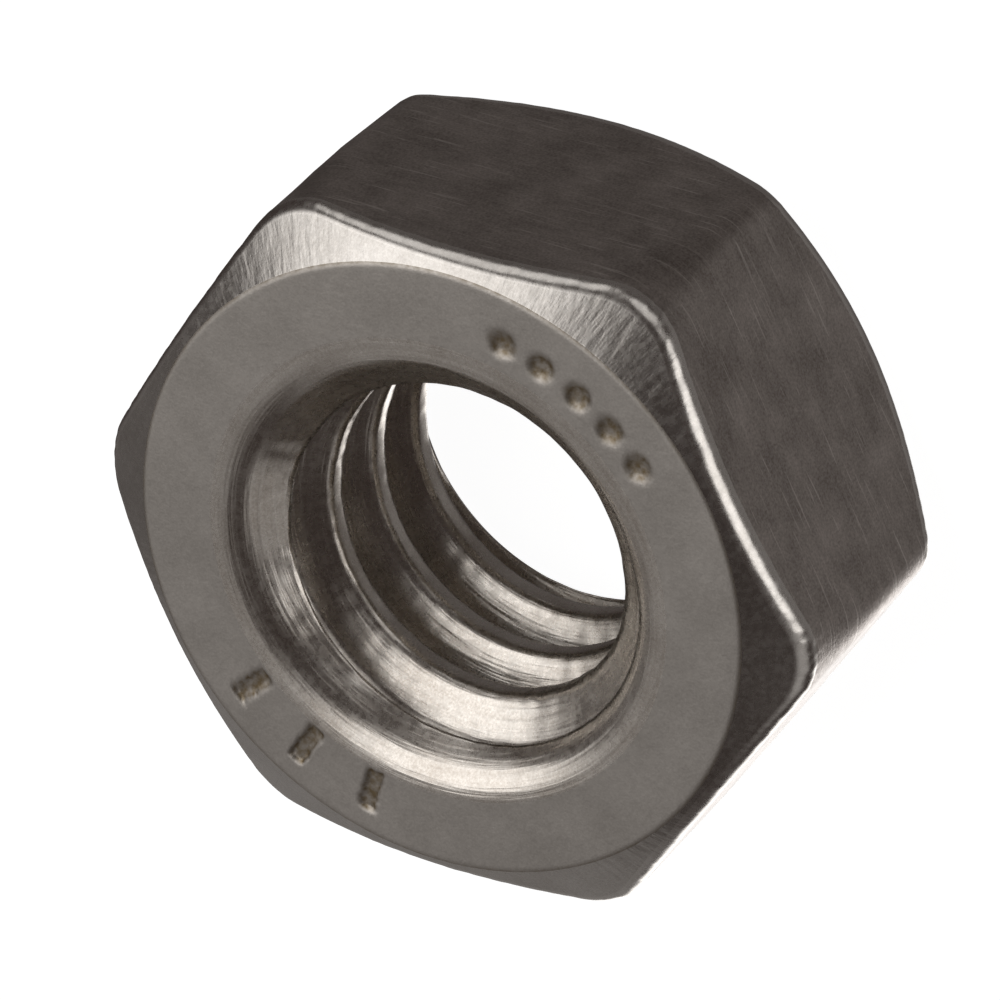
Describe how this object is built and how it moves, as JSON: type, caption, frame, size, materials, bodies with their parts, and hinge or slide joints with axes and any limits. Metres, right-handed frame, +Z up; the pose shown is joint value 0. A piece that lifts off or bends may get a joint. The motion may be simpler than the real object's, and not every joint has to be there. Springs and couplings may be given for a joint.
{
  "type": "hex nut",
  "caption": "Hexagonal nut with chamfered corners, a countersunk through hole and a right-hand internal thread, tightened with a wrench to clamp a bolt.",
  "frame": {"origin": "centre of the lower bearing face, on the thread axis", "axes": "+Z up along the thread axis to the marked face, +Y square to one pair of wrench flats, +X through a corner"},
  "size_m": [0.0116, 0.01, 0.0052],
  "materials": {
    "stainless": "satin, tumbled, with turned rings in the hole and fine scratches on the flats"
  },
  "bodies": {
    "root": {"hex_nut": "stainless"}
  },
  "joints": []
}
